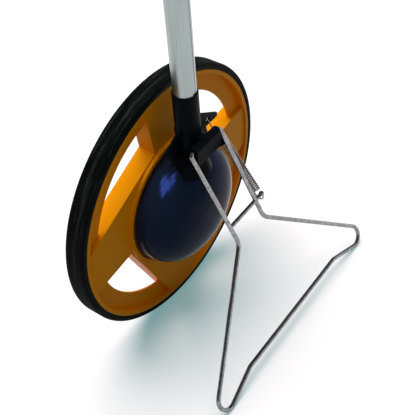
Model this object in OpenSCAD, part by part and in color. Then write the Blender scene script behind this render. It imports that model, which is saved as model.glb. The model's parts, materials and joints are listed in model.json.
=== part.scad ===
// Digital measuring wheel, leaning on its wire stand. Sizes are in millimetres.
// Every piece is drawn about the wheel's centre: Y is the axle, the dome lies on -Y, Z runs up the pole.
// posed() then leans the whole object on its stand, with the floor at Z = 0.

/* [Wheel] */
// Outside diameter of the tyre, one metre around
wheel_d = 318; // [300:1:330]
// Width of the tyre and of the rim band
tyre_w = 24; // [22:1:30]
// Thickness of the rubber tyre
tyre_t = 8; // [6:0.5:10]
// Radius of the tyre's rounded shoulders
tyre_shoulder = 3; // [2:0.5:4]
// Thickness of the rim band under the tyre
rim_t = 5; // [4:0.5:7]
// Inner radius of the ledge that runs inside the rim band
ledge_r = 125; // [118:1:130]
// Depth of the ledge behind the rim's edge
ledge_depth = 8.5; // [7:0.5:10]
// Thickness of the ledge
ledge_t = 2.5; // [2:0.5:4]
// Depth of the spokes' faces behind the rim's edge
face_recess = 2.5; // [1.5:0.5:5]
// Thickness of the spokes' faces and of the hub plate
web_t = 3.5; // [2.5:0.5:4.5]
// Thickness of the walls along the windows
wall_t = 3; // [2:0.5:4]
// Number of windows and of spokes
spokes = 4; // [4:1:4]
// Direction of the first window's leading edge
edge_dir = 7; // [4:0.2:10]
// Distance of a leading edge from the wheel's centre
edge_off = 12.5; // [7:0.5:14]
// Direction of the normal of the first window's long inner wall
line_dir = 24.5; // [21:0.5:28]
// How far that wall lies outside the hub's wall at the spokes' faces
line_out = 0.6; // [0.4:0.1:3]
// How far that wall leans outwards from there to the back of the rim
line_lean = 0.6; // [0.2:0.1:3]

/* [Hub and axle] */
// How far the hub ring stands out of the tyre's side
hub_rise = 2; // [1:0.5:4]
// Width of the hub ring round the dome
hub_lip = 4.5; // [4:0.5:7]
// How far the hub's wall stands out past that ring
hub_spread = 1; // [0.5:0.5:3]
// Radial gap between the dome's edge and the hub ring's bore
hub_clear = 2; // [1:0.5:3]
// Depth of the dish inside the hub ring
dish_depth = 7; // [6:0.5:8]
// Radius of the boss that holds the bearings
boss_r = 18; // [17:0.5:20]
// Number of ribs behind the hub plate
hub_ribs = 8; // [4:1:12]
// Bore of the ball bearings
bearing_bore = 8; // [8:1:8]
// Outside diameter of the ball bearings
bearing_od = 22; // [22:1:22]
// Width of the ball bearings
bearing_w = 7; // [6:0.5:8]
// Diameter of a bearing ball
ball_d = 3.9; // [3.6:0.1:4]
// Balls in a bearing
ball_count = 7; // [6:1:8]
// Radius of the encoder disc
encoder_r = 36; // [32:1:40]
// Slots in the encoder disc
encoder_slots = 20; // [12:1:24]

/* [Dome housing] */
// Radius of the dome's edge
dome_r = 76; // [72:1:78]
// Depth of the dome from its edge to its crown
dome_depth = 48; // [44:1:54]
// Fullness of the dome, where 2 is an ellipse
dome_fullness = 2.4; // [2:0.1:2.8]
// Wall of the dome
dome_t = 2.4; // [2:0.2:3]
// Running gap between the hub ring and the dome
dome_gap = 1.5; // [1:0.1:2.5]
// Thickness of the base plate inside the dome
base_t = 3.5; // [3:0.5:5]

/* [Bracket and pole] */
// Distance of the pole's axis from the middle of the tyre
pole_offset = 39.5; // [38:0.5:42]
// Diameter of the lower tube
pole_d = 25; // [24:0.5:26]
// Wall of both tubes
tube_t = 1.2; // [1:0.1:1.4]
// Width of the groove down the front of the lower tube
groove_w = 4.6; // [3:0.2:6]
// Depth of that groove
groove_t = 0.7; // [0.5:0.1:0.8]
// Height of the lower tube's foot above the axle
tube_start = 72; // [70:1:76]
// Height of the lower tube's top above the axle
tube_top = 430; // [400:5:480]
// Wall of the bracket's socket round the lower tube
socket_t = 2; // [1.6:0.2:2.4]
// Height of the bracket's foot above the axle
socket_foot = 42; // [41:0.5:44]
// Height of the socket's top edge above the axle, where the sleeve begins
sleeve_base = 116; // [114:1:120]
// Length of the plastic sleeve on the tube
sleeve_len = 47; // [40:1:52]
// Wall of the plastic sleeve
sleeve_t = 1.3; // [1:0.1:1.6]
// Half of the wings' span
wing_half = 50; // [46:1:54]
// Thickness of the wings
wing_t = 3; // [2:0.5:4]

/* [Stand] */
// Diameter of the stand's wire
wire_d = 5; // [4.5:0.1:5.2]
// Distance of the hinge in front of the pole's axis
hinge_out = 21; // [21:0.5:24]
// Height of the hinge above the axle
hinge_z = 106.6; // [104:0.2:110]
// Angle between the open stand and the pole
stand_angle = 28.4; // [26:0.2:31]
// Half of the lug's width
lug_half = 21; // [19:0.5:21.5]
// Half of the distance between the legs at the hinge
hinge_half = 26; // [25.5:0.5:28]
// Half of the distance between the legs above their splay
neck_half = 24; // [23:0.5:26]
// Distance from the hinge to the start of the splay
neck_s = 116.7; // [112:0.1:120]
// Half of the distance between the points where the runs beside each foot would meet
corner_half = 188; // [180:1:194]
// Distance from the hinge to those points
corner_s = 264.4; // [258:0.2:270]
// Half of the length of the raised bar between the feet
bar_half = 91.6; // [84:0.2:98]
// Distance of that bar above those points
bar_rise = 30; // [26:0.5:33]
// Distance from the hinge to the crossbar
crossbar_s = 94.6; // [88:0.2:100]
// Radius of the bends at the hinge
hinge_bend = 4.5; // [3.5:0.5:4.5]
// Radius of the bends at the start of the splay
neck_bend = 15; // [10:1:20]
// Radius of the rounded feet
foot_bend = 12.4; // [10:0.2:13.6]
// Radius of the bends beside the raised bar
bar_bend = 14; // [10:1:20]

/* [Spring] */
// Diameter of the spring's wire
spring_wire = 1.4; // [1:0.1:1.5]
// Radius of the coils, to the middle of the wire
spring_r = 4.6; // [4.2:0.1:4.8]
// Number of coils
spring_turns = 32; // [24:1:34]
// Distance of the spring from the stand's middle
spring_x = 33; // [33:0.5:35]
// Height of the hole in the wing that takes the spring's hook
anchor_z = 103.5; // [102:0.5:105]
// Radius of that hole
anchor_r = 3.4; // [3.2:0.1:3.6]

/* [Telescope and clamp] */
// Diameter of the upper tube
upper_d = 21; // [20:0.2:21.4]
// Length of the upper tube inside the lower one
upper_overlap = 110; // [90:5:140]
// Height of the clamp collar
collar_h = 40; // [36:1:48]
// Wall of the clamp collar round the lower tube
collar_t = 5; // [4:0.5:6]
// Length of the clamp lever
lever_len = 34; // [28:1:40]

/* [Handle] */
// Height of the upper tube's top above the axle
upper_top = 812; // [780:2:840]
// Length of the rubber grip
grip_len = 118; // [105:1:130]
// Radius of the rubber grip at its ribs
grip_r = 17; // [15:0.5:18]
// Length of the head's neck below the tube's top
head_neck = 42; // [36:1:48]
// Height of the head above the tube's top
head_rise = 93; // [91:1:100]
// Width of the head
head_w = 64; // [62:1:72]
// Depth of the head in front of the pole's axis
head_front_x = 24; // [24:0.5:26]
// Depth of the head behind the pole's axis
head_rear_x = 17; // [17:0.5:20]
// Rounding of the head's edges
head_edge = 8; // [6:0.5:9]
// Wall of the head's shells
head_t = 2.5; // [2:0.1:2.8]
// Width of the display's lens
lens_w = 46; // [40:1:46]
// Height of the display's lens
lens_h = 28; // [24:1:29]
// Radius of a key
key_r = 5.8; // [5:0.1:6.2]
// Half of the distance between the keys' columns
key_dx = 11; // [9.5:0.5:13]
// Distance between the keys' rows
key_dz = 18; // [17:0.5:19]
// Radius of the lanyard hole
lanyard_r = 2.5; // [2:0.1:3]

/* [Hidden] */
$fn = 72;
round_fn = 32;

// Clearances
slip = 0.05;
snug = 0.02;
air = 0.3;
bend_swell = 0.03;
bend_bite = 0.2;

// Wheel
wheel_r = wheel_d / 2;
half_w = tyre_w / 2;
rim_r = wheel_r - tyre_t;
band_r = rim_r - rim_t;
band_mid = (band_r + rim_r) / 2;
face_y = face_recess - half_w;
hub_front = -half_w - hub_rise;
hub_in_r = dome_r + hub_clear;
hub_out_r = hub_in_r + hub_lip;
hub_r = hub_out_r + hub_spread;
hub_bore_r = hub_in_r + 3;
ledge_y = ledge_depth - half_w;
plate_y = hub_front + dish_depth;
boss_rear = half_w + 2;
far = 2 * wheel_r;

// Bearings, from the front seat to the back
bearing_r = bearing_od / 2;
ball_pitch_r = (bearing_bore + bearing_od) / 4;
race_r = ball_d / 2 + slip;
ring_gap = 0.38 * ball_d;
seats = [-half_w, half_w - bearing_w];

// Dome and base plate
dome_y = hub_front - dome_gap;
dome_steps = 24;
base_front = dome_y - base_t;
base_r = dome_r - dome_t - air;
boss_front = base_front - 21;
axle_r = bearing_bore / 2;
dome_boss_r = 5;
dome_boss_at = 56;
dome_boss_angles = [35, 145, 270];

// Screws as [shank radius, head radius, head height]
m4 = [2, 3.6, 2.4];
m3 = [1.5, 2.8, 1.8];
m2 = [1.1, 2.1, 1.2];

// Encoder and sensor
encoder_t = 1.2;
encoder_y = -half_w - encoder_t;
encoder_screw_at = (bearing_r + boss_r) / 2 + 0.8;
fork = [10, 15, 13];
fork_low = -encoder_r - 4;
board = [40, 1.6, 24];
board_y = base_front - 1.5;
board_top = fork_low + fork[2] + 4;

// Bracket
pole_y = -pole_offset;
pole_r = pole_d / 2;
socket_r = pole_r + socket_t;
hinge_y = pole_y - hinge_out;
wire_r = wire_d / 2;
lug_r = 5.5;
saddle_y = pole_y + socket_r - 1.2;
saddle_zs = [socket_foot + 6, socket_foot + 18];
lead_r = 1.75;
lead_hole_r = 3;
lug_web = 4;
pocket_z = tube_start + 20;
wing_root = pole_r + sleeve_t + air;
wing_rise = 4;
wing_drop = 19;
wing_ear = 6.5;
wing_step = spring_x - 4;
tube_screw_rise = 26;
tube_screw_z = tube_start + tube_screw_rise;

// Stand, in the plane of its legs
crossbar_x = hinge_half + (neck_half - hinge_half) * crossbar_s / neck_s;
bar_s = corner_s - bar_rise;
stand_path = [
  [lug_half - 9, 0, 0], [hinge_half, 0, 0], [neck_half, 0, -neck_s], [corner_half, 0, -corner_s],
  [bar_half, 0, -bar_s], [-bar_half, 0, -bar_s], [-corner_half, 0, -corner_s],
  [-neck_half, 0, -neck_s], [-hinge_half, 0, 0], [9 - lug_half, 0, 0]
];
stand_bends = [
  0, hinge_bend, neck_bend, foot_bend, bar_bend, bar_bend, foot_bend, neck_bend, hinge_bend, 0
];
stud_r = 2.3;
knob_r = 3.2;

// Lowest point of a rounded foot, as a distance from the hinge
to_neck = unit([neck_half - corner_half, corner_s - neck_s]);
to_bar = unit([bar_half - corner_half, bar_rise]);
foot_mid = unit(to_neck + to_bar) * foot_bend / sin(acos(to_neck * to_bar) / 2);
foot_s = corner_s - foot_mid[1] + foot_bend;
foot_r = wire_r + bend_swell;

// Lean of the whole object: the floor touches the tyre's shoulder and the stand's feet
shoulder_at = [tyre_shoulder - half_w, tyre_shoulder - wheel_r];
foot_at = [hinge_y - foot_s * sin(stand_angle), hinge_z - foot_s * cos(stand_angle)];
foot_run = shoulder_at[0] - foot_at[0];
foot_lift = foot_at[1] - shoulder_at[1];
lean = atan2(foot_lift, foot_run) - asin((foot_r - tyre_shoulder) / norm([foot_run, foot_lift]));
contact = shoulder_at - tyre_shoulder * [sin(lean), cos(lean)];

// Spring, in the plane spring_x, from the stud to the wing
stud_at = [hinge_y - crossbar_s * sin(stand_angle), hinge_z - crossbar_s * cos(stand_angle)];
anchor_at = [pole_y, anchor_z];
spring_span = norm(anchor_at - stud_at);
spring_turn = atan2(anchor_at[1] - stud_at[1], anchor_at[0] - stud_at[0]) + asin(spring_r / spring_span);
spring_w = [cos(spring_turn), sin(spring_turn)];
spring_u = [sin(spring_turn), -cos(spring_turn)];
spring_reach = sqrt(spring_span * spring_span - spring_r * spring_r);
coil_start = 7;
coil_end = spring_reach - 13;
curl_rings = 8;
coil_steps = spring_turns * curl_rings;
hook_r = 3;
hook_turn = 150;
loop_turn = 240;

// Telescope
upper_r = upper_d / 2;
bore_r = pole_r - tube_t;
upper_start = tube_top - upper_overlap;
collar_r = pole_r + collar_t;
collar_z = tube_top - collar_h / 2;
collar_top = tube_top + collar_h / 2;
collar_slit = 2;
ear_y = 6;
ear_x = collar_r + 7;
ear_h = 26;
bolt_x = collar_r + 2.5;
lever_pin_y = -14;
lever_pin_r = 2;
lever_h = 22;
lever_t = 4.5;
lever_angle = 205;
eye_r = 3.6;
eye_h = 8;
bolt_head_r = 3.4;
glide_h = 12;
bush_h = 22;
coil_lead_r = 4.5;
coil_lead_rise = 33;
coil_lead_z0 = tube_start + coil_lead_rise;
coil_lead_z1 = upper_top - 12;

// Head, about the pole's axis
grip_top = upper_top - head_neck;
grip_base = grip_top - grip_len;
head_top = upper_top + head_rise;
head_split = -11;
head_low = upper_top + 3;
room_low = upper_top + 6;
room_top = head_top - head_t - 2;
room_half = head_w / 2 - head_t - 1;
face_in = head_t - head_front_x;
board_x = -14.5;
board_t = 1.6;
key_rise = 18;
key_z = head_low + key_rise;
key_rows = [key_z, key_z + key_dz];
lens_z = head_top - head_edge - 3 - lens_h / 2;
lens_t = 1.6;
window_lip = 2;
lcd_t = 2.8;
lcd_margin = 1.6;
head_screw_y = room_half - 3.5;
head_screw_zs = [head_low + 10, head_top - 11];
cell_r = 7.25;
cell_l = 50.5;
cell_x = 4;
cell_rise = 20;
cell_z = upper_top + cell_rise;
contact_t = 1;
door_half = 17;
door_z0 = cell_z - 5;
door_z1 = cell_z + cell_l + 5;
eye_size = [10, 12, 9];

// Placing and drawing helpers

module posed() {
  rotate([lean, 0, 0]) translate([0, -contact[0], -contact[1]]) children();
}

module on_pole() {
  translate([0, pole_y, 0]) children();
}

module at_hinge() {
  translate([0, hinge_y, hinge_z]) rotate([-stand_angle, 0, 0]) children();
}

// Turns a drawing of [radius, y] round the axle
module revolve() {
  rotate([-90, 0, 0]) rotate_extrude() children();
}

// Raises a drawing of [x, z] from y0 to y1
module slab(y0, y1) {
  translate([0, y1, 0]) rotate([90, 0, 0]) linear_extrude(y1 - y0) children();
}

module ring(r_in, r_out, y0, y1) {
  revolve() translate([r_in, y0]) square([r_out - r_in, y1 - y0]);
}

module along_y(r, y0, y1) {
  translate([0, y0, 0]) rotate([-90, 0, 0]) cylinder(r = r, h = y1 - y0);
}

module along_x(r, x0, x1) {
  translate([x0, 0, 0]) rotate([0, 90, 0]) cylinder(r = r, h = x1 - x0);
}

module pipe(r_in, r_out, z0, z1) {
  translate([0, 0, z0]) difference() {
    cylinder(r = r_out, h = z1 - z0);
    translate([0, 0, -1]) cylinder(r = r_in, h = z1 - z0 + 2);
  }
}

module box(low, high) {
  translate(low) cube(high - low);
}

// Screw along +Y from the underside of its head, which faces -Y
module screw_y(size, shank) {
  along_y(size[1], -size[2], 0);
  along_y(size[0], -0.5, shank);
}

module rod(p, q, r) {
  d = q - p;
  translate(p) rotate([0, acos(d[2] / norm(d)), atan2(d[1], d[0])]) cylinder(r = r, h = norm(d));
}

function unit(v) = v / norm(v);
function turn_at(p, i) = acos(unit(p[i] - p[i - 1]) * unit(p[i + 1] - p[i]));
function tangent_at(p, bends, i) =
  i == 0 || i == len(p) - 1 ? 0 : bends[i] * tan(turn_at(p, i) / 2);

// Elbow of a bent wire at point i of its path
module elbow(p, bends, i, r) {
  a = unit(p[i] - p[i - 1]);
  b = unit(p[i + 1] - p[i]);
  n = unit(b - a * (a * b));
  c = p[i] - a * tangent_at(p, bends, i) + n * bends[i];
  e = cross(-n, a);
  multmatrix([[-n[0], a[0], e[0], c[0]], [-n[1], a[1], e[1], c[1]], [-n[2], a[2], e[2], c[2]], [0, 0, 0, 1]])
    rotate_extrude(angle = turn_at(p, i)) translate([bends[i], 0]) circle(r);
}

// Wire through the points p, with a bend radius at each inner point; its bends are a hair thicker
module bent_wire(p, bends, r) {
  for (i = [0 : len(p) - 2]) {
    u = unit(p[i + 1] - p[i]);
    start = i == 0 ? 0 : tangent_at(p, bends, i) - bend_bite;
    stop = i == len(p) - 2 ? 0 : tangent_at(p, bends, i + 1) - bend_bite;
    rod(p[i] + u * start, p[i + 1] - u * stop, r);
  }
  for (i = [1 : len(p) - 2]) elbow(p, bends, i, r + bend_swell);
}

// Round tube swept along points, with sides round it and flat ends
function tangents(p) = [
  for (i = [0 : len(p) - 1]) unit(p[min(i + 1, len(p) - 1)] - p[max(i - 1, 0)])
];
function carried(t) = [
  for (i = 0, n = unit(cross(t[0], [0.31, 0.52, 0.79])); i < len(t);
       i = i + 1, n = i < len(t) ? unit(n - t[i] * (n * t[i])) : n) n
];

module swept_tube(p, r, sides) {
  t = tangents(p);
  n = carried(t);
  count = len(p);
  points = [
    for (i = [0 : count - 1], k = [0 : sides - 1])
      p[i] + r * (cos(360 * k / sides) * n[i] + sin(360 * k / sides) * cross(t[i], n[i]))
  ];
  walls = [
    for (i = [0 : count - 2], k = [0 : sides - 1], half = [0, 1])
      let (a = i * sides + k, b = i * sides + (k + 1) % sides)
        half == 0 ? [a, a + sides, b] : [b, a + sides, b + sides]
  ];
  last = (count - 1) * sides;
  caps = [
    for (k = [1 : sides - 2], end = [0, 1])
      end == 0 ? [0, k, k + 1] : [last, last + k + 1, last + k]
  ];
  polyhedron(points, concat(walls, caps));
}

// Wheel

// Distance of a window's long wall from the axle, at a depth
function line_at(y) = hub_r + line_out + line_lean * (y - face_y) / (half_w - face_y);

// Free space of one window from y0 to y1, grown towards its walls
module window(grow, y0, y1) {
  difference() {
    slab(y0, y1) rotate(edge_dir) translate([0, edge_off - grow]) square(far);
    rotate([0, -line_dir, 0]) translate([0, 0, -far]) linear_extrude(2 * far) polygon([
      [0, y0 - 1], [line_at(y0 - 1) - grow, y0 - 1], [line_at(y1 + 1) - grow, y1 + 1], [0, y1 + 1]
    ]);
  }
}

module windows(grow, y0, y1) {
  for (i = [0 : spokes - 1]) rotate([0, -360 / spokes * i, 0]) window(grow, y0, y1);
}

module tyre() {
  s = tyre_shoulder;
  color("#1c1e20") posed() revolve() translate([rim_r, -half_w]) {
    square([tyre_t - s, tyre_w]);
    translate([0, s]) square([tyre_t, tyre_w - 2 * s]);
    for (y = [s, tyre_w - s]) translate([tyre_t - s, y]) circle(s);
  }
}

module hub_ring() {
  foot_r = hub_out_r + hub_spread / 2;
  revolve() polygon([
    [hub_in_r, hub_front], [hub_out_r, hub_front], [foot_r, face_y + 1], [foot_r, plate_y + 1.5],
    [hub_in_r, plate_y + 1.5]
  ]);
}

// Spokes and hub wall, open at the back
module spoke_shell() {
  difference() {
    slab(face_y, half_w) difference() {
      circle(band_mid);
      circle(hub_bore_r);
    }
    windows(0, face_y - 1, half_w + 1);
    difference() {
      slab(face_y + web_t, half_w + 2) difference() {
        circle(band_r + 1);
        circle(hub_r + 0.7);
      }
      windows(wall_t, face_y - 2, half_w + 3);
    }
  }
}

module wheel_rim() {
  color("#f2a516") posed() difference() {
    union() {
      ring(band_r, rim_r, -half_w, half_w);
      ring(ledge_r, band_mid + 0.5, ledge_y, ledge_y + ledge_t);
      spoke_shell();
      hub_ring();
      ring(boss_r - 1, hub_bore_r + 1, plate_y, plate_y + web_t);
      along_y(boss_r, -half_w, boss_rear);
      for (i = [0 : hub_ribs - 1]) rotate([0, 360 / hub_ribs * i, 0])
        box([boss_r - 1, plate_y + 1, -wall_t / 2], [hub_bore_r + 1, half_w - 3, wall_t / 2]);
    }
    along_y(bearing_r - 1.6, -half_w - 1, boss_rear + 1);
    for (y = seats) along_y(bearing_r + snug, y, y + bearing_w);
    along_y(bearing_r + 3.5, half_w, boss_rear + 1);
    for (i = [0 : 2]) rotate([0, 120 * i, 0]) translate([encoder_screw_at, 0, 0])
      along_y(m2[0] + snug, -half_w - 1, -half_w + 6);
  }
}

// Bearings

module race(r_in, r_out) {
  for (y = seats) revolve() difference() {
    translate([r_in, y]) square([r_out - r_in, bearing_w]);
    translate([ball_pitch_r, y + bearing_w / 2]) circle(race_r);
  }
}

module bearing_outer_rings() {
  color("silver") posed() race(ball_pitch_r + ring_gap, bearing_r);
}

module bearing_inner_rings() {
  color("silver") posed() race(axle_r + snug, ball_pitch_r - ring_gap);
}

module bearing_balls() {
  color("gainsboro") posed() for (y = seats, i = [0 : ball_count - 1])
    rotate([0, 360 / ball_count * i, 0])
      translate([ball_pitch_r, y + bearing_w / 2, 0]) sphere(r = ball_d / 2);
}

module bearing_spacers() {
  color("silver") posed() {
    ring(axle_r + snug, ball_pitch_r - ring_gap, dome_y, -half_w);
    ring(axle_r + snug, ball_pitch_r - ring_gap, bearing_w - half_w, half_w - bearing_w);
  }
}

module encoder_disc() {
  color("#30343a") posed() slab(encoder_y, encoder_y + encoder_t) difference() {
    circle(encoder_r);
    circle(bearing_r + 1.5);
    for (i = [0 : encoder_slots - 1]) rotate(360 / encoder_slots * i)
      translate([encoder_r - 8, -1.5]) square([5.5, 3]);
    for (i = [0 : 2]) rotate(120 * i) translate([encoder_screw_at, 0]) circle(m2[0] + slip);
  }
}

module encoder_screws() {
  color("silver") posed() for (i = [0 : 2])
    rotate([0, 120 * i, 0]) translate([encoder_screw_at, encoder_y, 0]) screw_y(m2, encoder_t + 5);
}

module hub_cap() {
  color("#26292e") posed() difference() {
    union() {
      along_y(bearing_r + 3.5 - slip, half_w + 0.2, boss_rear + 1);
      revolve() polygon([
        [0, boss_rear], [boss_r, boss_rear], [boss_r, boss_rear + 6], [boss_r - 4, boss_rear + 10],
        [0, boss_rear + 11]
      ]);
    }
    along_y(bearing_r + 1, half_w, boss_rear + 8);
  }
}

// Axle

module axle_bolt() {
  color("silver") posed() {
    along_y(axle_r, boss_front, half_w + 9);
    translate([0, boss_front - 5.3, 0]) rotate([-90, 0, 0]) cylinder(d = 15, h = 5.3, $fn = 6);
  }
}

module axle_washer() {
  color("silver") posed() ring(axle_r + slip, ball_pitch_r - ring_gap, half_w, half_w + 1.5);
}

module axle_nut() {
  color("silver") posed() difference() {
    translate([0, half_w + 1.5, 0]) rotate([-90, 0, 0]) cylinder(d = 15, h = 6.5, $fn = 6);
    along_y(axle_r + snug, half_w, half_w + 9);
  }
}

// Dome housing

module dome_solid(inset, y_open) {
  r = dome_r - inset;
  h = dome_depth - inset;
  e = 2 / dome_fullness;
  revolve() polygon(concat(
    [[0, y_open], [r, y_open]],
    [for (i = [0 : dome_steps]) let (a = 90 * i / dome_steps)
      [r * pow(cos(a), e), dome_y - h * pow(sin(a), e)]]
  ));
}

module dome_bosses(r) {
  for (a = dome_boss_angles) rotate([0, -a, 0]) translate([dome_boss_at, 0, 0])
    along_y(r, dome_y - dome_depth, base_front);
}

module dome_cover() {
  color("#151a2c") posed() difference() {
    union() {
      difference() {
        dome_solid(0, dome_y);
        dome_solid(dome_t, dome_y + 1);
      }
      intersection() {
        dome_solid(dome_t / 2, dome_y);
        dome_bosses(dome_boss_r);
      }
    }
    on_pole() translate([0, 0, socket_foot]) cylinder(r = socket_r + air / 2, h = dome_r);
    for (a = dome_boss_angles) rotate([0, -a, 0]) translate([dome_boss_at, 0, 0])
      along_y(m3[0] + snug, base_front - 8, base_front + 1);
  }
}

module dome_screws() {
  color("dimgray") posed() for (a = dome_boss_angles)
    rotate([0, -a, 0]) translate([dome_boss_at, dome_y - m3[2], 0]) mirror([0, 1, 0]) screw_y(m3, base_t + 4);
}

// Holes for a screw whose head lies under the base plate's back face
module back_hole(size) {
  along_y(size[0] + slip, base_front - 20, dome_y + 1);
  along_y(size[1] + 0.2, dome_y - size[2], dome_y + 1);
}

module hub_base() {
  color("#202226") posed() difference() {
    union() {
      along_y(base_r, base_front, dome_y);
      along_y(14, boss_front, dome_y);
      box([-13, saddle_y, socket_foot], [13, dome_y - 1, socket_foot + 24]);
      for (x = [-1, 1]) translate([x * (board[0] / 2 - 5), 0, board_top - board[2] + 6])
        along_y(3.5, board_y, dome_y - 1);
    }
    along_y(axle_r + snug, boss_front - 1, dome_y + 1);
    for (a = dome_boss_angles) rotate([0, -a, 0]) translate([dome_boss_at, 0, 0]) back_hole(m3);
    for (z = saddle_zs) translate([0, 0, z]) back_hole(m4);
    box([-fork[0] / 2 - 0.5, base_front - 1, fork_low - 0.5],
        [fork[0] / 2 + 0.5, dome_y + 1, fork_low + fork[2] + 0.5]);
    for (x = [-1, 1]) translate([x * (board[0] / 2 - 5), 0, board_top - board[2] + 6])
      along_y(m2[0] + snug, board_y - 1, board_y + 4);
  }
}

module sensor_board() {
  color("darkgreen") posed() difference() {
    box([-board[0] / 2, board_y - board[1], board_top - board[2]], [board[0] / 2, board_y, board_top]);
    for (x = [-1, 1]) translate([x * (board[0] / 2 - 5), 0, board_top - board[2] + 6])
      along_y(m2[0] + slip, board_y - 3, board_y + 1);
  }
}

module board_screws() {
  color("silver") posed() for (x = [-1, 1])
    translate([x * (board[0] / 2 - 5), board_y - board[1], board_top - board[2] + 6])
      screw_y(m2, board[1] + 3.5);
}

module sensor_fork() {
  slot = 3;
  color("#101114") posed() difference() {
    box([-fork[0] / 2, board_y, fork_low], [fork[0] / 2, encoder_y + encoder_t + 2.6, fork_low + fork[2]]);
    box([-fork[0], encoder_y + (encoder_t - slot) / 2, fork_low + 3],
        [fork[0], encoder_y + (encoder_t + slot) / 2, fork_low + fork[2] + 1]);
  }
}

module sensor_lead() {
  route = [
    [12, board_y - 3.2, board_top - 6], [22, pole_y + 10, -14], [24, pole_y + 6, 8], [12, pole_y + 2, 28],
    [0, pole_y, 38], [0, pole_y, coil_lead_z0]
  ];
  color("#26262a") posed() bent_wire(route, [0, 7, 7, 7, 7, 0], lead_r);
}

// Bracket

module lug_profile() {
  polygon([
    [pole_y, sleeve_base], [hinge_y + 2, hinge_z + lug_r - 0.4], [hinge_y, hinge_z + lug_r],
    [hinge_y - lug_r, hinge_z], [hinge_y - lug_r, hinge_z - 18], [pole_y - 2, tube_start + 3],
    [pole_y, tube_start + 3]
  ]);
  translate([hinge_y, hinge_z]) circle(lug_r);
}

// Hollow between the socket and the hinge's barrel
module pocket_profile() {
  difference() {
    translate([hinge_y, pocket_z]) square([pole_y + 1 - hinge_y, far]);
    translate([hinge_y, hinge_z]) circle(lug_r - air);
  }
}

module wing_profile() {
  low = anchor_z - wing_drop;
  ear_low = anchor_z - wing_ear;
  polygon([
    [0, sleeve_base], [wing_root, sleeve_base], [wing_root, sleeve_base + wing_rise],
    [wing_root + 8, sleeve_base + wing_rise - 1], [wing_half, anchor_z - 2], [wing_half - 1, ear_low],
    [wing_step, ear_low], [wing_step + 1.5, low], [0, low]
  ]);
}

module pole_bracket() {
  color("#17191c") posed() difference() {
    union() {
      on_pole() translate([0, 0, socket_foot]) cylinder(r = socket_r, h = sleeve_base - socket_foot);
      difference() {
        union() {
          on_pole() rotate_extrude() polygon([
            [0, socket_foot + 18], [socket_r + 8, socket_foot + 18], [socket_r, tube_start + 16],
            [0, tube_start + 16]
          ]);
          rotate([90, 0, 90]) translate([0, 0, -lug_half]) linear_extrude(2 * lug_half) lug_profile();
        }
        for (side = [0, 1]) mirror([side, 0, 0])
          rotate([90, 0, 90]) translate([0, 0, lug_web]) linear_extrude(lug_half) pocket_profile();
        dome_solid(-0.1, hub_front);
        box([-far, hub_front - 6, 0], [far, far, far]);
      }
      for (side = [0, 1]) mirror([side, 0, 0]) {
        slab(pole_y - wing_t / 2, pole_y + wing_t / 2) wing_profile();
        at_hinge() box([lug_half - 1, wire_r + air, -20], [hinge_half + 3, wire_r + 6, -12]);
      }
    }
    on_pole() translate([0, 0, tube_start]) cylinder(r = pole_r + snug, h = far);
    on_pole() translate([0, 0, socket_foot - 1]) cylinder(r = lead_hole_r, h = tube_start);
    translate([0, hinge_y, hinge_z]) along_x(wire_r + slip, -lug_half - 1, lug_half + 1);
    translate([spring_x, 0, anchor_z]) along_y(anchor_r, pole_y - wing_t, pole_y + wing_t);
    box([-socket_r - 1, saddle_y, socket_foot - 1], [socket_r + 1, 0, socket_foot + 24.5]);
    for (z = saddle_zs, side = [0, 1]) translate([0, 0, z]) along_y(m4[0] + snug, saddle_y - 9, saddle_y + 1);
    translate([0, 0, tube_screw_z]) {
      along_y(m3[0] + snug, pole_y, 0);
      along_y(m3[1] + 0.3, pole_y + socket_r - 0.9, 0);
    }
  }
}

module bracket_screws() {
  color("silver") posed() for (z = saddle_zs)
    translate([0, dome_y - m4[2], z]) mirror([0, 1, 0]) screw_y(m4, dome_y - m4[2] - saddle_y + 8);
}

module tube_screw() {
  color("dimgray") posed() translate([0, pole_y + socket_r - 0.9, tube_screw_z])
    mirror([0, 1, 0]) screw_y(m3, socket_t + tube_t + 1);
}

module pole_sleeve() {
  color("#141518") posed() on_pole()
    pipe(pole_r + snug, pole_r + sleeve_t, sleeve_base, sleeve_base + sleeve_len);
}

module lower_tube() {
  color("#d3d6d8") posed() difference() {
    on_pole() difference() {
      pipe(bore_r, pole_r, tube_start, tube_top);
      box([-groove_w / 2, -pole_r - 1, tube_start - 1], [groove_w / 2, groove_t - pole_r, tube_top + 1]);
    }
    translate([0, 0, tube_screw_z]) along_y(m3[0] + snug, pole_y, 0);
  }
}

// Stand

module stand_wire() {
  color("#d8dadc") posed() at_hinge() bent_wire(stand_path, stand_bends, wire_r);
}

module legs(grow) {
  for (side = [-1, 1])
    rod([side * hinge_half, 0, 0], [side * neck_half, 0, -neck_s], wire_r + grow);
}

module stand_crossbar() {
  color("#c9cbce") posed() at_hinge() difference() {
    translate([0, 0, -crossbar_s]) along_x(stud_r, -crossbar_x, crossbar_x);
    legs(0);
  }
}

module spring_stud() {
  color("#c9cbce") posed() at_hinge() difference() {
    translate([0, 0, -crossbar_s]) union() {
      along_x(stud_r, crossbar_x, spring_x + 2);
      translate([spring_x + 2 + knob_r / 2, 0, 0]) rotate([0, 90, 0]) sphere(r = knob_r);
    }
    legs(0);
  }
}

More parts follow.
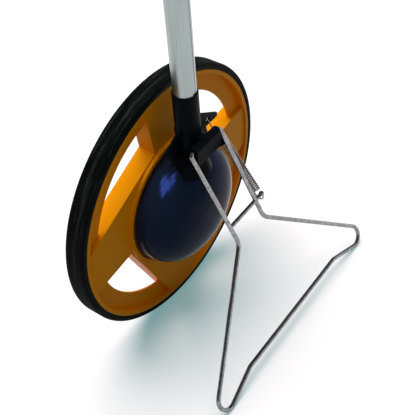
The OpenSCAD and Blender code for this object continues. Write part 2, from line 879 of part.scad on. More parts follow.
// Points of the spring's wire as [along u, along x, along w] from the stud
spring_local = concat(
  [for (i = [0 : 8]) let (a = loop_turn * (i / 8 - 1)) [spring_r * cos(a), 0, spring_r * sin(a)]],
  [[spring_r, 0, coil_start / 2]],
  [for (i = [0 : coil_steps]) let (a = 360 * i / curl_rings)
    [spring_r * cos(a), spring_r * sin(a), coil_start + (coil_end - coil_start) * i / coil_steps]],
  [[spring_r, 0, coil_end + 3], [spring_r, 0, spring_reach], [spring_r, 0, spring_reach + 4]],
  [for (i = [1 : 5]) let (a = hook_turn * i / 5)
    [spring_r + hook_r * (1 - cos(a)), 0, spring_reach + 4 + hook_r * sin(a)]]
);
spring_path = [
  for (q = spring_local) let (yz = stud_at + q[0] * spring_u + q[2] * spring_w)
    [spring_x + q[1], yz[0], yz[1]]
];
spring_gap = min([
  for (i = [0 : len(spring_path) - 7], j = [i + 6 : len(spring_path) - 1])
    norm(spring_path[i] - spring_path[j])
]) - spring_wire;

module stand_spring() {
  echo(least_gap_in_the_spring = spring_gap);
  color("#b9bcc0") posed() swept_tube(spring_path, spring_wire / 2, 6);
}

// Telescope and clamp

module clamp_collar() {
  color("#17191c") posed() on_pole() difference() {
    union() {
      translate([0, 0, collar_z]) cylinder(r = collar_r, h = collar_h);
      box([0, -ear_y, tube_top - ear_h / 2], [ear_x, ear_y, tube_top + ear_h / 2]);
    }
    translate([0, 0, collar_z - 1]) cylinder(r = pole_r + snug, h = tube_top - collar_z + 1);
    translate([0, 0, collar_z - 1]) cylinder(r = upper_r + slip, h = collar_h + 2);
    box([0, -collar_slit / 2, collar_z - 1], [ear_x + 1, collar_slit / 2, collar_top + 1]);
    translate([bolt_x, 0, tube_top]) along_y(lever_pin_r + slip, -ear_y - 1, ear_y + 1);
  }
}

module clamp_bolt() {
  color("silver") posed() on_pole() translate([bolt_x, 0, tube_top]) difference() {
    union() {
      along_y(lever_pin_r, lever_pin_y, ear_y);
      along_y(bolt_head_r, ear_y, ear_y + 3);
      translate([0, lever_pin_y, -eye_h / 2]) cylinder(r = eye_r, h = eye_h);
    }
    translate([0, lever_pin_y, -eye_h]) cylinder(r = lever_pin_r + slip, h = 2 * eye_h);
  }
}

module lever_pin() {
  color("silver") posed() on_pole() translate([bolt_x, lever_pin_y, tube_top - lever_h / 2])
    cylinder(r = lever_pin_r, h = lever_h);
}

module clamp_lever() {
  cam_r = -lever_pin_y - ear_y - air;
  color("#202226") posed() on_pole() translate([bolt_x, lever_pin_y, tube_top]) difference() {
    union() {
      translate([0, 0, -lever_h / 2]) cylinder(r = min(cam_r, 6), h = lever_h);
      rotate([0, 0, lever_angle]) {
        box([4, -lever_t / 2, 0.5 - lever_h / 2], [lever_len, lever_t / 2, lever_h / 2 - 0.5]);
        translate([lever_len, 0, -lever_h / 2]) cylinder(r = lever_t / 2 + 0.8, h = lever_h);
      }
    }
    translate([0, 0, -lever_h]) cylinder(r = lever_pin_r + slip, h = 2 * lever_h);
    translate([0, 0, -eye_h / 2 - air]) cylinder(r = eye_r + 3.5, h = eye_h + 2 * air);
  }
}

module tube_bush() {
  color("#e8e8e4") posed() on_pole() pipe(upper_r + slip, bore_r - snug, tube_top - bush_h, tube_top);
}

module upper_tube() {
  color("#dcdfe1") posed() on_pole() pipe(upper_r - tube_t, upper_r, upper_start, upper_top);
}

module tube_glide() {
  color("#e8e8e4") posed() on_pole() difference() {
    union() {
      pipe(upper_r - tube_t - 1.5, bore_r - slip, upper_start - 3, upper_start);
      pipe(upper_r - tube_t - 1.5, upper_r - tube_t - snug, upper_start - 1, upper_start + glide_h);
    }
  }
}

module coil_lead() {
  color("#26262a") posed() on_pole() translate([0, 0, coil_lead_z0])
    cylinder(r = coil_lead_r, h = coil_lead_z1 - coil_lead_z0);
}

// Handle and display head

grip_ribs = 9;
grip_valley = 1.6;
grip_end = 8;

module grip() {
  n = 8 * grip_ribs;
  color("#1b1c1e") posed() on_pole() translate([0, 0, grip_base]) rotate_extrude() polygon(concat(
    [[upper_r + snug, 0], [grip_r, 0]],
    [for (i = [0 : n]) [
      grip_r - grip_valley * pow(sin(180 * grip_ribs * i / n), 2),
      grip_end + (grip_len - 2 * grip_end) * i / n
    ]],
    [[grip_r, grip_len], [upper_r + snug, grip_len]]
  ));
}

module head_outer() {
  corner_y = head_w / 2 - head_edge;
  hull() {
    for (x = [head_edge - head_front_x, head_rear_x - head_edge], y = [-corner_y, corner_y],
         z = [head_low + head_edge, head_top - head_edge])
      translate([x, y, z]) sphere(r = head_edge, $fn = round_fn);
    translate([0, 0, grip_top]) cylinder(r = grip_r, h = 2, $fn = round_fn);
  }
}

module at_head_screws() {
  for (y = [-head_screw_y, head_screw_y], z = head_screw_zs) translate([0, y, z]) children();
}

module at_keys() {
  for (y = [-key_dx, key_dx], z = key_rows) translate([0, y, z]) children();
}

module head_front() {
  color("#1a1c20") posed() on_pole() difference() {
    union() {
      difference() {
        intersection() {
          head_outer();
          box([-far, -far, 0], [head_split, far, far * 4]);
        }
        box([face_in, -room_half, room_low], [head_split + 1, room_half, room_top]);
      }
      at_head_screws() along_x(3.6, face_in - 0.5, head_split);
      for (y = [-1, 1]) translate([0, y * (room_half - 4), lens_z - lens_h / 2 - 3])
        along_x(2.5, face_in - 0.5, board_x);
    }
    translate([0, 0, grip_top - 1]) cylinder(r = upper_r + snug, h = head_neck + 1);
    box([-far, -lens_w / 2, lens_z - lens_h / 2], [lens_t - head_front_x, lens_w / 2, lens_z + lens_h / 2]);
    box([-far, window_lip - lens_w / 2, window_lip + lens_z - lens_h / 2],
        [face_in + 1, lens_w / 2 - window_lip, lens_z + lens_h / 2 - window_lip]);
    at_keys() along_x(key_r + air, -far, 0);
    at_head_screws() along_x(m3[0] + snug, face_in + 2, head_split + 1);
  }
}

module head_rear() {
  color("#1a1c20") posed() on_pole() difference() {
    union() {
      difference() {
        intersection() {
          head_outer();
          box([head_split, -far, 0], [far, far, far * 4]);
        }
        box([head_split - 1, -room_half, room_low], [head_rear_x - head_t, room_half, room_top]);
      }
      at_head_screws() along_x(4.2, head_split, head_rear_x - head_t + 0.5);
      box([-2, -room_half, cell_z - contact_t - 4.5],
          [head_rear_x - head_t, room_half, cell_z - contact_t - air]);
      box([-2, -room_half, cell_z + cell_l + contact_t + air],
          [head_rear_x - head_t, room_half, cell_z + cell_l + contact_t + 3.5]);
      box([cell_x - 4, -eye_size[1] / 2, head_top - 2],
          [cell_x - 4 + eye_size[0], eye_size[1] / 2, head_top + eye_size[2]]);
    }
    translate([0, 0, grip_top - 1]) cylinder(r = upper_r + snug, h = head_neck + 1);
    translate([0, 0, upper_top - 1]) cylinder(r = lead_hole_r, h = room_low - upper_top + 2);
    box([head_rear_x - head_t - 0.5, -door_half, door_z0], [far, door_half, door_z1]);
    translate([0, 0, door_z0 + 3]) along_x(m2[0] + snug, head_rear_x - 9, far);
    at_head_screws() {
      along_x(m3[0] + slip, head_split - 1, far);
      along_x(m3[1] + 0.3, head_rear_x - m3[2] - 1, far);
    }
    translate([cell_x - 4 + eye_size[0] / 2, 0, head_top + eye_size[2] - lanyard_r - 2])
      along_y(lanyard_r, -eye_size[1], eye_size[1]);
  }
}

module head_screws() {
  color("dimgray") posed() on_pole() at_head_screws() {
    along_x(m3[1], head_rear_x - m3[2] - 1, head_rear_x - 1);
    along_x(m3[0], face_in + 3, head_rear_x - 2);
  }
}

module display_board() {
  color("darkgreen") posed() on_pole() difference() {
    box([board_x, -room_half + 0.5, room_low + 1], [board_x + board_t, room_half - 0.5, room_top - 1]);
    at_head_screws() along_x(4.5, board_x - 1, board_x + 3);
  }
}

module display_lead() {
  route = [[0, 0, coil_lead_z1], [0, 0, room_low + 6], [board_x + board_t + slip, 0, room_low + 6]];
  color("#26262a") posed() on_pole() bent_wire(route, [0, 4, 0], lead_r);
}

module lcd_panel() {
  color("#9aa58c") posed() on_pole()
    box([face_in + 0.2, lcd_margin - lens_w / 2, lens_z - lens_h / 2 + lcd_margin],
        [face_in + 0.2 + lcd_t, lens_w / 2 - lcd_margin, lens_z + lens_h / 2 - lcd_margin]);
}

module display_lens() {
  color("#8fa3ad", 0.5) posed() on_pole()
    box([-head_front_x, 0.1 - lens_w / 2, lens_z - lens_h / 2 + 0.1],
        [lens_t - head_front_x - snug, lens_w / 2 - 0.1, lens_z + lens_h / 2 - 0.1]);
}

module batteries() {
  color("#6f7378") posed() on_pole() for (y = [-1, 1]) translate([cell_x, y * (cell_r + 1), cell_z]) {
    cylinder(r = cell_r, h = cell_l - 1.2);
    cylinder(r = 2.7, h = cell_l);
  }
}

module battery_contacts() {
  ends = [cell_z - contact_t - air / 2, cell_z + cell_l + air / 2];
  color("silver") posed() on_pole() for (y = [-1, 1], z = ends)
    translate([0, y * (cell_r + 1), 0]) box([cell_x - 5, -5, z], [cell_x + 5, 5, z + contact_t]);
}

module battery_door() {
  color("#1d1f23") posed() on_pole() difference() {
    box([head_rear_x - head_t, 0.2 - door_half, door_z0 + 0.2],
        [head_rear_x, door_half - 0.2, door_z1 - 0.2]);
    translate([0, 0, door_z0 + 3]) along_x(m2[0] + slip, 0, far);
    translate([0, 0, door_z0 + 3]) along_x(m2[1] + 0.2, head_rear_x - 1, far);
  }
}

module door_screw() {
  color("silver") posed() on_pole() translate([0, 0, door_z0 + 3]) {
    along_x(m2[1], head_rear_x - 1, head_rear_x - 1 + m2[2]);
    along_x(m2[0], head_rear_x - 8, head_rear_x - 0.5);
  }
}

// Key at a column and a row of the pad
module key(column, row) {
  posed() on_pole() translate([0, (2 * column - 1) * key_dx, key_rows[row]]) {
    along_x(key_r, -head_front_x - 1, face_in + air);
    along_x(key_r + 1.5, face_in + air, face_in + air + 1);
    along_x(3, face_in + air + 1, board_x - 1.1);
  }
}

module key_power() {
  color("#c8402a") key(0, 1);
}

module key_unit() {
  color("#5b6068") key(1, 1);
}

module key_hold() {
  color("#5b6068") key(0, 0);
}

module key_zero() {
  color("#5b6068") key(1, 0);
}

tyre();
wheel_rim();
bearing_outer_rings();
bearing_balls();
encoder_disc();
encoder_screws();
hub_cap();
axle_bolt();
bearing_inner_rings();
bearing_spacers();
axle_washer();
axle_nut();
hub_base();
dome_cover();
dome_screws();
sensor_board();
sensor_fork();
board_screws();
sensor_lead();
pole_bracket();
bracket_screws();
tube_screw();
pole_sleeve();
lower_tube();
clamp_collar();
clamp_bolt();
lever_pin();
tube_bush();
clamp_lever();
stand_wire();
stand_crossbar();
spring_stud();
stand_spring();
coil_lead();
upper_tube();
tube_glide();
grip();
head_rear();
head_front();
head_screws();
display_board();
display_lead();
lcd_panel();
display_lens();
batteries();
battery_contacts();
battery_door();
door_screw();
key_power();
key_unit();
key_hold();
key_zero();
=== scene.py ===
import json
import math

import bpy
import numpy as np
from mathutils import Matrix, Vector


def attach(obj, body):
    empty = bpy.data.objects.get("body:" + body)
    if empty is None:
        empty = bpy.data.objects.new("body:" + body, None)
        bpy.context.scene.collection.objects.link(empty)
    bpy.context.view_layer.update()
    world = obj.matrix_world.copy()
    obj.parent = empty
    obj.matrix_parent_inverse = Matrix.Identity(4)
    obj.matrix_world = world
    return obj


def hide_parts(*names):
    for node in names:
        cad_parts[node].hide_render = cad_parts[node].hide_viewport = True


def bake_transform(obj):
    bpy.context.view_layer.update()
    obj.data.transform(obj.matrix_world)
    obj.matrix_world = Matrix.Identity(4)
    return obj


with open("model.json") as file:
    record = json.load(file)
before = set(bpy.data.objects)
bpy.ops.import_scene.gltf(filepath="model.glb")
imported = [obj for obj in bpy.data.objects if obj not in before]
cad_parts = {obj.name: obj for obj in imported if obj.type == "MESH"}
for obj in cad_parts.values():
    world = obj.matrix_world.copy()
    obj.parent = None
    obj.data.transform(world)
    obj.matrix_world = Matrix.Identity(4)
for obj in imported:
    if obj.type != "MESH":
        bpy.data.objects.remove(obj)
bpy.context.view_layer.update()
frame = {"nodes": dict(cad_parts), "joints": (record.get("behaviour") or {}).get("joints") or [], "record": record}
NODES = frame["nodes"]
JOINTS = {j["name"]: j for j in frame["joints"]}
MM = 0.001
FULL_TURN = 2 * math.pi

# Frame of the leaning wheel: X along the stand's hinge, Y along the axle, Z up the pole
AXLE = Vector(JOINTS["wheel_spin"]["axis"])
POLE = Vector(JOINTS["pole_slide"]["axis"])
CENTRE = Vector(JOINTS["wheel_spin"]["pos_m"])
LEAN = Matrix((Vector((1, 0, 0)), AXLE, POLE)).transposed()


def placed(p):
    """A point in millimetres from the wheel's centre, in the model's metres."""
    return CENTRE + LEAN @ (Vector(p) * MM)


# Camera as in the photograph, in degrees and millimetres in the leaning wheel's frame
CAMERA = {
    "azimuth": -51.71, "elevation": 45.74, "roll": -4.27,
    "distance": 979.5, "aside": -46.4, "above": 17.4}
FOCAL_PIXELS = 850
PHOTO_PIXELS = 415
SENSOR = 36
NEAREST = 0.01


def make_camera():
    azimuth = math.radians(CAMERA["azimuth"])
    elevation = math.radians(CAMERA["elevation"])
    roll = math.radians(CAMERA["roll"])
    flat = math.cos(elevation)
    back = Vector((math.sin(azimuth) * flat, -math.cos(azimuth) * flat, math.sin(elevation)))
    level = Vector((math.cos(azimuth), math.sin(azimuth), 0))
    rise = back.cross(level)
    right = math.cos(roll) * level + math.sin(roll) * rise
    up = math.cos(roll) * rise - math.sin(roll) * level
    eye = back * CAMERA["distance"] - right * CAMERA["aside"] - up * CAMERA["above"]
    data = bpy.data.cameras.new("camera")
    data.sensor_width = SENSOR
    data.lens = SENSOR * FOCAL_PIXELS / PHOTO_PIXELS
    data.clip_start = NEAREST
    camera = bpy.data.objects.new("camera", data)
    bpy.context.scene.collection.objects.link(camera)
    turn = Matrix((LEAN @ right, LEAN @ up, LEAN @ back)).transposed()
    camera.matrix_world = Matrix.Translation(placed(eye)) @ turn.to_4x4()
    bpy.context.scene.camera = camera


# Materials: noise scales in cycles per metre, reliefs and edge radii in metres, ranges as shares
SHADE_STOPS = (0.3, 0.7)
BEVEL_SAMPLES = 4
PLASTIC = {"blotches": 18, "sheen": 60, "sheen_range": 0.2, "strength": 0.35}
METAL = {"sheen_range": 0.25, "strength": 0.3}
RUBBER = {
    "dust": 35, "dust_rough": 0.65, "dust_shades": (0.75, 1.35), "sheen": 120, "sheen_range": 0.15,
    "strength": 0.45}
SCUFFS = {"stretch": (0.3, 3.5, 0.3), "scale": 55, "rough": 0.7, "begins": 0.52, "full": 0.75}
GLASS = {"colour": (0.92, 0.95, 0.95), "ior": 1.46, "smears": 80, "roughness": (0.02, 0.06)}
DISPLAY = {"coat": 0.4, "blotches": 40, "shades": (0.93, 1.05), "grain": 500, "roughness": (0.3, 0.4)}


class Shader:
    """A material under construction, with short helpers for its nodes."""

    def __init__(self, name):
        self.material = bpy.data.materials.new(name)
        self.material.use_nodes = True
        self.tree = self.material.node_tree
        self.bsdf = self.tree.nodes["Principled BSDF"]

    def add(self, kind, **values):
        """A new node, with each value put on its input or else its property of that name."""
        node = self.tree.nodes.new(kind)
        for key, value in values.items():
            if key in node.inputs:
                node.inputs[key].default_value = value
            else:
                setattr(node, key, value)
        return node

    def link(self, out, into):
        self.tree.links.new(out, into)

    def set(self, **values):
        for key, value in values.items():
            self.bsdf.inputs[key.replace("_", " ")].default_value = value

    def place(self, stretch=(1, 1, 1)):
        """Coordinates in metres along the leaning wheel's own axes, each stretched."""
        where = self.add("ShaderNodeTexCoord")
        upright = self.add("ShaderNodeMapping", Rotation=(math.asin(POLE.y), 0, 0))
        stretched = self.add("ShaderNodeMapping", Scale=stretch)
        self.link(where.outputs["Object"], upright.inputs["Vector"])
        self.link(upright.outputs["Vector"], stretched.inputs["Vector"])
        return stretched.outputs["Vector"]

    def noise(self, vector, scale, detail, rough=0.55):
        node = self.add("ShaderNodeTexNoise", Scale=scale, Detail=detail, Roughness=rough)
        self.link(vector, node.inputs["Vector"])
        return node.outputs["Fac"]

    def ramp(self, fac, stops):
        node = self.add("ShaderNodeValToRGB")
        elements = node.color_ramp.elements
        while len(elements) < len(stops):
            elements.new(0.5)
        for element, (at, colour) in zip(elements, stops):
            element.position = at
            element.color = (*colour, 1)
        self.link(fac, node.inputs["Fac"])
        return node.outputs["Color"]

    def colour(self, out):
        self.link(out, self.bsdf.inputs["Base Color"])

    def rough(self, fac, low, high):
        node = self.add("ShaderNodeMapRange")
        node.inputs["To Min"].default_value = low
        node.inputs["To Max"].default_value = high
        self.link(fac, node.inputs["Value"])
        self.link(node.outputs["Result"], self.bsdf.inputs["Roughness"])

    def rough_about(self, fac, roughness, share):
        self.rough(fac, roughness * (1 - share), roughness * (1 + share))

    def bump(self, height, distance, strength, edge):
        """Surface relief, over edges softened to a radius."""
        node = self.add("ShaderNodeBump", Strength=strength, Distance=distance)
        self.link(height, node.inputs["Height"])
        if edge:
            bevel = self.add("ShaderNodeBevel", samples=BEVEL_SAMPLES, Radius=edge)
            self.link(bevel.outputs["Normal"], node.inputs["Normal"])
        self.link(node.outputs["Normal"], self.bsdf.inputs["Normal"])


def shades(colour, low, high):
    """Two stops of one colour, darker and lighter."""
    return [(stop, [c * share for c in colour]) for stop, share in zip(SHADE_STOPS, (low, high))]


def plastic(name, colour, roughness, shine=0.4, grain=1400, relief=0.00004, edge=0.0006, spread=0.06,
            tint=(1, 1, 1)):
    s = Shader(name)
    s.set(Specular_IOR_Level=shine, Specular_Tint=(*tint, 1))
    at = s.place()
    blotches = s.noise(at, PLASTIC["blotches"], detail=3)
    s.colour(s.ramp(blotches, shades(colour, 1 - spread, 1 + spread)))
    s.rough_about(s.noise(at, PLASTIC["sheen"], detail=5), roughness, PLASTIC["sheen_range"])
    s.bump(s.noise(at, grain, detail=2), relief, PLASTIC["strength"], edge)
    return s.material


def metal(name, colour, roughness, stretch=(1, 1, 1), scale=300, relief=0.00002, edge=0.0003, spread=0.06):
    s = Shader(name)
    s.set(Metallic=1.0)
    streaks = s.noise(s.place(stretch), scale, detail=4)
    s.colour(s.ramp(streaks, shades(colour, 1 - spread, 1 + spread)))
    s.rough_about(streaks, roughness, METAL["sheen_range"])
    s.bump(streaks, relief, METAL["strength"], edge)
    return s.material


def rubber(name, colour, roughness, grain=900, relief=0.00012, edge=0.0008, shine=0.35, scuff=None):
    s = Shader(name)
    s.set(Specular_IOR_Level=shine)
    at = s.place()
    dust = s.noise(at, RUBBER["dust"], detail=6, rough=RUBBER["dust_rough"])
    tone = s.ramp(dust, shades(colour, *RUBBER["dust_shades"]))
    if scuff:
        streaks = s.noise(s.place(SCUFFS["stretch"]), SCUFFS["scale"], detail=9, rough=SCUFFS["rough"])
        worn = s.ramp(streaks, [(SCUFFS["begins"], (0, 0, 0)), (SCUFFS["full"], scuff)])
        both = s.add("ShaderNodeMixRGB", blend_type="ADD", Fac=1.0)
        s.link(tone, both.inputs["Color1"])
        s.link(worn, both.inputs["Color2"])
        tone = both.outputs["Color"]
    s.colour(tone)
    s.rough_about(s.noise(at, RUBBER["sheen"], detail=4), roughness, RUBBER["sheen_range"])
    s.bump(s.noise(at, grain, detail=3), relief, RUBBER["strength"], edge)
    return s.material


def clear(name):
    s = Shader(name)
    s.set(Base_Color=(*GLASS["colour"], 1), Transmission_Weight=1.0, IOR=GLASS["ior"])
    s.rough(s.noise(s.place(), GLASS["smears"], detail=4), *GLASS["roughness"])
    return s.material


def display(name, colour):
    s = Shader(name)
    s.set(Coat_Weight=DISPLAY["coat"])
    at = s.place()
    s.colour(s.ramp(s.noise(at, DISPLAY["blotches"], detail=2), shades(colour, *DISPLAY["shades"])))
    s.rough(s.noise(at, DISPLAY["grain"], detail=2), *DISPLAY["roughness"])
    return s.material


RECIPES = {
    "tyre_rubber": (rubber, dict(
        colour=(0.003, 0.0042, 0.004), roughness=0.5, shine=0.02, scuff=(0.035, 0.042, 0.037))),
    "wheel_plastic": (plastic, dict(
        colour=(0.95, 0.345, 0.003), roughness=0.34, shine=0.03, grain=700, relief=0.00003, edge=0.0009,
        spread=0.04)),
    "dome_plastic": (plastic, dict(
        colour=(0.015, 0.026, 0.055), roughness=0.13, shine=0.03, grain=900, relief=0.000006, edge=0.0008,
        tint=(0.09, 0.19, 1.0))),
    "black_plastic": (plastic, dict(
        colour=(0.003, 0.0048, 0.0064), roughness=0.4, shine=0.03, tint=(0.6, 0.85, 1.0))),
    "tube_metal": (metal, dict(
        colour=(0.32, 0.38, 0.375), roughness=0.3, stretch=(1, 1, 0.02), scale=700, relief=0.00001,
        spread=0.12)),
    "chrome_wire": (metal, dict(
        colour=(0.26, 0.265, 0.27), roughness=0.14, relief=0.00007, edge=0, spread=0.4)),
    "spring_steel": (metal, dict(colour=(0.22, 0.225, 0.225), roughness=0.22, scale=400, edge=0)),
    "steel": (metal, dict(colour=(0.56, 0.57, 0.58), roughness=0.28)),
    "contact_metal": (metal, dict(colour=(0.72, 0.6, 0.34), roughness=0.25)),
    "grip_rubber": (rubber, dict(colour=(0.014, 0.0145, 0.016), roughness=0.62)),
    "bush_plastic": (plastic, dict(colour=(0.74, 0.74, 0.71), roughness=0.4)),
    "board_laminate": (plastic, dict(colour=(0.018, 0.16, 0.06), roughness=0.35, shine=0.3)),
    "lead_jacket": (rubber, dict(
        colour=(0.02, 0.02, 0.023), roughness=0.5, grain=1500, relief=0.00003, edge=0)),
    "disc_plastic": (plastic, dict(colour=(0.03, 0.034, 0.04), roughness=0.3)),
    "lcd": (display, dict(colour=(0.3, 0.36, 0.28))),
    "lens_clear": (clear, {}),
    "cell_jacket": (plastic, dict(colour=(0.15, 0.16, 0.17), roughness=0.22)),
    "key_grey": (rubber, dict(colour=(0.13, 0.14, 0.16), roughness=0.5, grain=1200, relief=0.00004)),
    "key_red": (rubber, dict(colour=(0.5, 0.05, 0.025), roughness=0.5, grain=1200, relief=0.00004)),
}
MATERIALS = {name: make(name, **looks) for name, (make, looks) in RECIPES.items()}


def dress_nodes():
    slots = {s["node"]: s["material_slot"] for s in frame["record"]["subparts"]}
    for name, node in NODES.items():
        node.data.materials.clear()
        node.data.materials.append(MATERIALS[slots[name]])


# Pieces made here, with a tube's end radius as a share and a direction that no tube starts along
END_SHARE = 0.72
OFF_PATH = (0.31, 0.52, 0.79)


def mesh_piece(name, points, faces, slot, smooth=True):
    mesh = bpy.data.meshes.new(name)
    mesh.from_pydata([tuple(p) for p in points], [], faces)
    mesh.materials.append(MATERIALS[slot])
    if smooth:
        mesh.polygons.foreach_set("use_smooth", [True] * len(mesh.polygons))
    mesh.update()
    piece = bpy.data.objects.new(name, mesh)
    bpy.context.scene.collection.objects.link(piece)
    return piece


def tube(name, path, radius, sides, slot):
    """A round tube along a path of points in metres, with its ends drawn in."""
    centres = np.array([tuple(p) for p in path])
    ahead = np.gradient(centres, axis=0)
    ahead /= np.linalg.norm(ahead, axis=1)[:, None]
    normal = np.cross(ahead[0], OFF_PATH)
    last = len(centres) - 1
    turn = FULL_TURN * np.arange(sides) / sides
    rings = []
    for i, centre in enumerate(centres):
        normal = normal - ahead[i] * (normal @ ahead[i])
        normal /= np.linalg.norm(normal)
        across = np.cross(ahead[i], normal)
        r = radius * END_SHARE if i in (0, last) else radius
        rings.append(centre + r * (np.cos(turn)[:, None] * normal + np.sin(turn)[:, None] * across))
    faces = []
    for i in range(last):
        for k in range(sides):
            a = i * sides + k
            b = i * sides + (k + 1) % sides
            faces.append((a, b, b + sides, a + sides))
    faces.append(tuple(range(sides))[::-1])
    faces.append(tuple(last * sides + k for k in range(sides)))
    return mesh_piece(name, np.vstack(rings), faces, slot)


# Tyre, with fine ridges across its tread
TYRE = {"inner_r": 151, "outer_r": 159, "half_w": 12, "shoulder": 3, "shoulder_points": 6, "edge": 0.4}
RIDGES = {"count": 312, "depth": 0.45, "steps": (0, 0, 1, 1), "fade": 3}


def tyre_section():
    """Points (y, radius, tread) round the tyre's section, where tread is 1 on the ridged face."""
    inner, outer = TYRE["inner_r"], TYRE["outer_r"]
    half, shoulder, edge = TYRE["half_w"], TYRE["shoulder"], TYRE["edge"]
    side = [(half - edge, inner, 0), (half, inner + edge, 0)]
    for a in np.linspace(0, math.pi / 2, TYRE["shoulder_points"]):
        reach = half - shoulder * (1 - math.cos(a))
        side.append((reach, outer - shoulder * (1 - math.sin(a)), math.sin(a) ** RIDGES["fade"]))
    side += [(half - shoulder - edge, outer, 1), (0, outer, 1)]
    return [(-y, r, tread) for y, r, tread in side] + side[-2::-1]


def make_tyre():
    section = tyre_section()
    size = len(section)
    steps = RIDGES["steps"]
    slices = RIDGES["count"] * len(steps)
    points, faces = [], []
    for i in range(slices):
        a = FULL_TURN * i / slices
        sink = RIDGES["depth"] * steps[i % len(steps)]
        for y, r, tread in section:
            reach = r - sink * tread
            points.append(placed((reach * math.cos(a), y, reach * math.sin(a))))
        near = i * size
        far = (i + 1) % slices * size
        for k in range(size):
            n = (k + 1) % size
            faces.append((near + k, near + n, far + n, far + k))
    piece = mesh_piece("ridged_tyre", points, faces, "tyre_rubber")
    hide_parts("tyre")
    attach(piece, "wheel")


# Spring from the stand's stud to the bracket's wing, in millimetres from the wheel's centre
POLE_Y = -39.5
HINGE = (-60.5, 106.6)
STAND_ANGLE = math.radians(28.4)
CROSSBAR_S = 94.6
SPRING = {
    "x": 33, "anchor": (POLE_Y, 103.5), "coil_r": 4.6, "wire_r": 0.7, "sides": 10, "turns": 32, "rings": 16,
    "stud_to_coils": 7, "coils_to_anchor": 13, "straightens": 3}
LOOP = {"from": -240, "to": 0, "points": 20}
HOOK = {"from": 15, "to": 150, "points": 10, "r": 3, "rise": 4}


def arc(shape):
    return np.radians(np.linspace(shape["from"], shape["to"], shape["points"]))


def spring_points():
    """The wire's path from the loop on the stud to the hook in the wing, and the spring's two ends."""
    stud = np.array(HINGE) - CROSSBAR_S * np.array([math.sin(STAND_ANGLE), math.cos(STAND_ANGLE)])
    anchor = np.array(SPRING["anchor"])
    r = SPRING["coil_r"]
    span = np.linalg.norm(anchor - stud)
    turn = math.atan2(anchor[1] - stud[1], anchor[0] - stud[0]) + math.asin(r / span)
    along = np.array([math.cos(turn), math.sin(turn)])
    aside = np.array([math.sin(turn), -math.cos(turn)])
    reach = math.sqrt(span * span - r * r)
    start = SPRING["stud_to_coils"]
    end = reach - SPRING["coils_to_anchor"]
    local = [(r * math.cos(a), 0, r * math.sin(a)) for a in arc(LOOP)]
    local.append((r, 0, start / 2))
    steps = SPRING["turns"] * SPRING["rings"]
    for i in range(steps + 1):
        a = FULL_TURN * i / SPRING["rings"]
        local.append((r * math.cos(a), r * math.sin(a), start + (end - start) * i / steps))
    top = reach + HOOK["rise"]
    local += [(r, 0, end + SPRING["straightens"]), (r, 0, reach), (r, 0, top)]
    for a in arc(HOOK):
        local.append((r + HOOK["r"] * (1 - math.cos(a)), 0, top + HOOK["r"] * math.sin(a)))
    points = []
    for u, x, w in local:
        yz = stud + u * aside + w * along
        points.append(placed((SPRING["x"] + x, yz[0], yz[1])))
    return points, placed((SPRING["x"], *anchor)), placed((SPRING["x"], *stud))


def make_spring():
    points, top, foot = spring_points()
    piece = tube("spring_coils", points, SPRING["wire_r"] * MM, SPRING["sides"], "spring_steel")
    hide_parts("stand_spring")
    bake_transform(piece)


# Curled lead inside the tubes
LEAD = {
    "low": 105, "high": 800, "turns": 84, "rings": 12, "curl_r": 3.4, "wire_r": 1.05, "sides": 6,
    "steps_to_full_curl": 20}


def make_curled_lead():
    steps = LEAD["turns"] * LEAD["rings"]
    low, high = LEAD["low"], LEAD["high"]
    points = []
    for i in range(steps + 1):
        a = FULL_TURN * i / LEAD["rings"]
        r = LEAD["curl_r"] * min(1, min(i, steps - i) / LEAD["steps_to_full_curl"])
        z = low + (high - low) * i / steps
        points.append(placed((r * math.cos(a), POLE_Y + r * math.sin(a), z)))
    piece = tube("curled_lead", points, LEAD["wire_r"] * MM, LEAD["sides"], "lead_jacket")
    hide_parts("coil_lead")
    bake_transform(piece)


# Figures on the display, in millimetres, each a nought of six bars given as (across, up, flat)
LCD_X = -21.3
LCD_Z = 880
READING = "0.00"
FIGURE = {
    "width": 7.5, "height": 15.0, "bar": 2.1, "pitch": 12.0, "thick": 0.05, "lift": 0.02,
    "flat_gap": 0.7, "upright_gap": 0.5}
NOUGHT = [
    (0, 1, True), (0.5, 0.5, False), (0.5, -0.5, False),
    (0, -1, True), (-0.5, -0.5, False), (-0.5, 0.5, False)]


def add_bar(points, faces, y, z, half_y, half_z):
    """Adds a thin bar with cut corners, just in front of the display."""
    cut = min(half_y, half_z)
    ring = [
        (-half_y, half_z - cut), (cut - half_y, half_z), (half_y - cut, half_z), (half_y, half_z - cut),
        (half_y, cut - half_z), (half_y - cut, -half_z), (cut - half_y, -half_z), (-half_y, cut - half_z)]
    size = len(ring)
    front = len(points)
    back = front + size
    for away in (FIGURE["lift"] + FIGURE["thick"], FIGURE["lift"]):
        points.extend(placed((LCD_X - away, POLE_Y + y + p, LCD_Z + z + q)) for p, q in ring)
    faces.append(tuple(front + k for k in range(size)))
    faces.append(tuple(back + k for k in range(size))[::-1])
    for k in range(size):
        n = (k + 1) % size
        faces.append((front + k, back + k, back + n, front + n))


def make_figures():
    width, height, bar, pitch = FIGURE["width"], FIGURE["height"], FIGURE["bar"], FIGURE["pitch"]
    flat_half = (width / 2 - bar * FIGURE["flat_gap"], bar / 2)
    upright_half = (bar / 2, height / 4 - bar * FIGURE["upright_gap"])
    points, faces = [], []
    y = pitch * (READING.count("0") - 1) / 2
    for mark in READING:
        if mark == ".":
            add_bar(points, faces, y + pitch / 2, -height / 2, bar / 2, bar / 2)
            continue
        for across, up, flat in NOUGHT:
            half = flat_half if flat else upright_half
            add_bar(points, faces, y - across * width, up * height / 2, *half)
        y -= pitch
    piece = mesh_piece("display_figures", points, faces, "disc_plastic", smooth=False)
    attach(piece, "upper_pole")


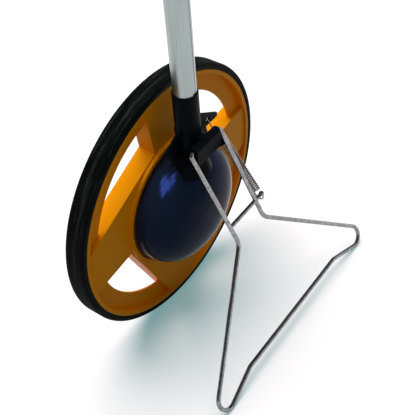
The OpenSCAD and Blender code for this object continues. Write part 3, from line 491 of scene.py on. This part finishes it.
# Light and floor, in metres
DOME = placed((0, -45, 20))
FLOOR = {
    "colour": (0.75, 0.6, 0.61), "glow": (0.13, 0.29, 0.295), "bounce": (0.19, 0.19, 0.19), "half": 60,
    "blotches": 3, "shades": (0.99, 1.01), "grain": 20, "roughness": (0.8, 0.9)}
KEY = {"from": (0.23, 0.12, 1.0), "power": 4.1, "spread": 66, "colour": (1, 0.99, 0.97)}
WINDOW = {
    "from": (-0.37, -0.54, 0.756), "away": 1.5, "height": 1.0, "watts_per_width": 320,
    "colour": (0.9, 0.95, 1.0)}
PANES = {"window_wide": (-0.16, 0.6), "window_narrow": (0.36, 0.22)}
WHITE = (1, 1, 1)
OVERHEAD = (0.12, 0.13, 0.14)
SKY = [(0.0, (0.26, 0.28, 0.29)), (0.25, (0.2, 0.21, 0.22)), (0.7, OVERHEAD)]
BACKDROP = [(0.0, WHITE), (0.22, WHITE), (0.4, OVERHEAD)]


def seen_rays(s):
    """1 for a ray from the camera, off a shiny surface or through glass, else 0."""
    path = s.add("ShaderNodeLightPath")
    total = path.outputs["Is Camera Ray"]
    for ray in ("Is Glossy Ray", "Is Transmission Ray"):
        larger = s.add("ShaderNodeMath", operation="MAXIMUM")
        s.link(total, larger.inputs[0])
        s.link(path.outputs[ray], larger.inputs[1])
        total = larger.outputs["Value"]
    return total


def make_floor():
    """A floor that is white where it is seen, and throws less light back at the object."""
    s = Shader("floor")
    s.set(Specular_IOR_Level=0.0, Emission_Color=(*FLOOR["glow"], 1))
    at = s.place()
    seen = seen_rays(s)
    tone = s.ramp(s.noise(at, FLOOR["blotches"], detail=2), shades(FLOOR["colour"], *FLOOR["shades"]))
    mix = s.add("ShaderNodeMixRGB", Color1=(*FLOOR["bounce"], 1))
    s.link(seen, mix.inputs["Fac"])
    s.link(tone, mix.inputs["Color2"])
    s.colour(mix.outputs["Color"])
    s.rough(s.noise(at, FLOOR["grain"], detail=3), *FLOOR["roughness"])
    s.link(seen, s.bsdf.inputs["Emission Strength"])
    half = FLOOR["half"]
    corners = [(-half, -half, 0), (half, -half, 0), (half, half, 0), (-half, half, 0)]
    mesh = bpy.data.meshes.new("floor")
    mesh.from_pydata(corners, [], [(0, 1, 2, 3)])
    mesh.materials.append(s.material)
    floor = bpy.data.objects.new("floor", mesh)
    bpy.context.scene.collection.objects.link(floor)


class Studio(Shader):
    """The world's background under construction."""

    def __init__(self, name):
        self.world = bpy.data.worlds.new(name)
        self.world.use_nodes = True
        self.tree = self.world.node_tree
        self.background = self.tree.nodes["Background"]


def make_world():
    """A studio that is pale near the floor's edge and dark overhead, with a white backdrop low down."""
    s = Studio("studio")
    where = s.add("ShaderNodeTexCoord")
    split = s.add("ShaderNodeSeparateXYZ")
    s.link(where.outputs["Generated"], split.inputs["Vector"])
    mix = s.add("ShaderNodeMixRGB")
    s.link(seen_rays(s), mix.inputs["Fac"])
    s.link(s.ramp(split.outputs["Z"], SKY), mix.inputs["Color1"])
    s.link(s.ramp(split.outputs["Z"], BACKDROP), mix.inputs["Color2"])
    s.link(mix.outputs["Color"], s.background.inputs["Color"])
    bpy.context.scene.world = s.world


def aimed_lamp(name, kind, come_from, power, colour):
    """A lamp that shines from a direction towards the dome."""
    data = bpy.data.lights.new(name, kind)
    data.energy = power
    data.color = colour
    lamp = bpy.data.objects.new(name, data)
    lamp.location = DOME + come_from
    lamp.rotation_euler = (-come_from).to_track_quat("-Z", "Y").to_euler()
    bpy.context.scene.collection.objects.link(lamp)
    return lamp


def make_lights():
    """A broad soft key, and two window panes that only the dome's gloss reflects."""
    key = aimed_lamp("key", "SUN", Vector(KEY["from"]), KEY["power"], KEY["colour"])
    key.data.angle = math.radians(KEY["spread"])
    key.visible_glossy = False
    lit = bpy.data.collections.new("window_lit")
    lit.objects.link(NODES["dome_cover"])
    come_from = Vector(WINDOW["from"]) * WINDOW["away"]
    for name, (aside, width) in PANES.items():
        pane = aimed_lamp(name, "AREA", come_from, WINDOW["watts_per_width"] * width, WINDOW["colour"])
        pane.location += pane.rotation_euler.to_matrix().col[0] * aside
        pane.data.shape = "RECTANGLE"
        pane.data.size = width
        pane.data.size_y = WINDOW["height"]
        pane.visible_diffuse = False
        pane.light_linking.receiver_collection = lit


make_camera()
dress_nodes()
make_tyre()
make_spring()
make_curled_lead()
make_figures()
make_floor()
make_world()
make_lights()
bpy.context.scene.view_settings.view_transform = "Standard"
